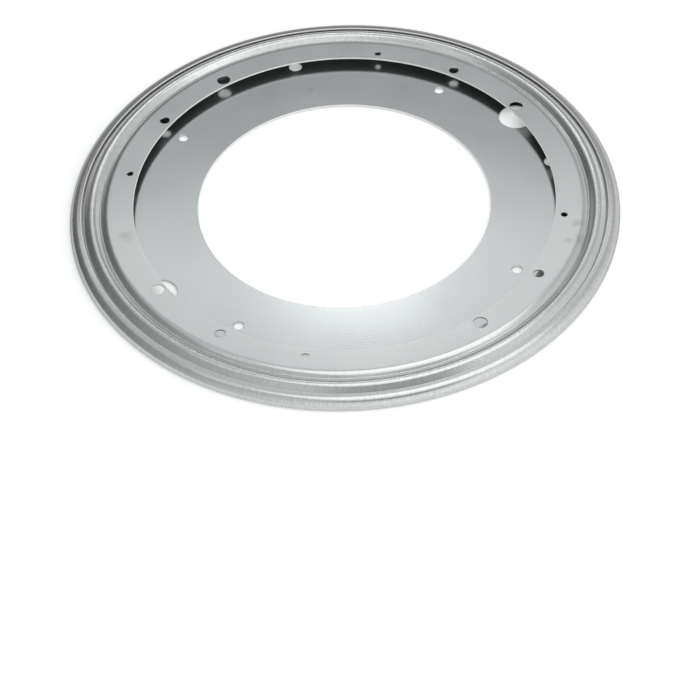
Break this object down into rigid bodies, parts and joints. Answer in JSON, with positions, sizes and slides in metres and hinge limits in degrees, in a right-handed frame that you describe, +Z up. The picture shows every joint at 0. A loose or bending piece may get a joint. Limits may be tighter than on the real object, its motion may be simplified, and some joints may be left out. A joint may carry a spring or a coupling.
{
  "type": "lazy susan bearing",
  "caption": "Round turntable bearing: a pressed steel ring with screw holes turns on caged balls inside the rolled rim of a wider steel plate.",
  "frame": {"origin": "on the bearing's axis, in the plane that the lower plate's bead rests on", "axes": "+Z up along the turning axis; +X through the first large screw hole of the lower plate; +Y completes a right-handed frame"},
  "size_m": [0.3, 0.3, 0.008],
  "materials": {
    "ring_steel": "galvanised sheet, pressed",
    "plate_steel": "galvanised sheet, pressed",
    "cage_nylon": "moulded, natural",
    "ball_steel": "ground and polished"
  },
  "bodies": {
    "plate": {"lower_plate": "plate_steel"},
    "ring": {"upper_ring": "ring_steel"},
    "ball_train": {"ball_cage": "cage_nylon", "ball_01": "ball_steel", "ball_02": "ball_steel", "ball_03": "ball_steel", "ball_04": "ball_steel", "ball_05": "ball_steel", "ball_06": "ball_steel", "ball_07": "ball_steel", "ball_08": "ball_steel", "ball_09": "ball_steel", "ball_10": "ball_steel", "ball_11": "ball_steel", "ball_12": "ball_steel", "ball_13": "ball_steel", "ball_14": "ball_steel", "ball_15": "ball_steel", "ball_16": "ball_steel", "ball_17": "ball_steel", "ball_18": "ball_steel", "ball_19": "ball_steel", "ball_20": "ball_steel", "ball_21": "ball_steel", "ball_22": "ball_steel", "ball_23": "ball_steel", "ball_24": "ball_steel", "ball_25": "ball_steel", "ball_26": "ball_steel", "ball_27": "ball_steel", "ball_28": "ball_steel", "ball_29": "ball_steel", "ball_30": "ball_steel", "ball_31": "ball_steel", "ball_32": "ball_steel", "ball_33": "ball_steel", "ball_34": "ball_steel", "ball_35": "ball_steel", "ball_36": "ball_steel", "ball_37": "ball_steel", "ball_38": "ball_steel", "ball_39": "ball_steel", "ball_40": "ball_steel", "ball_41": "ball_steel", "ball_42": "ball_steel", "ball_43": "ball_steel", "ball_44": "ball_steel", "ball_45": "ball_steel", "ball_46": "ball_steel", "ball_47": "ball_steel", "ball_48": "ball_steel"}
  },
  "joints": [
    {"name": "ring_turn", "type": "hinge", "parent": "plate", "child": "ring", "pos_m": [0, 0, 0.004], "axis": [0, 0, 1], "continuous": true},
    {"name": "ball_train_turn", "type": "hinge", "parent": "plate", "child": "ball_train", "pos_m": [0, 0, 0.004], "axis": [0, 0, 1], "continuous": true}
  ],
  "couplings": [
    {"joint": "ball_train_turn", "follows": "ring_turn", "ratio": 0.5}
  ]
}
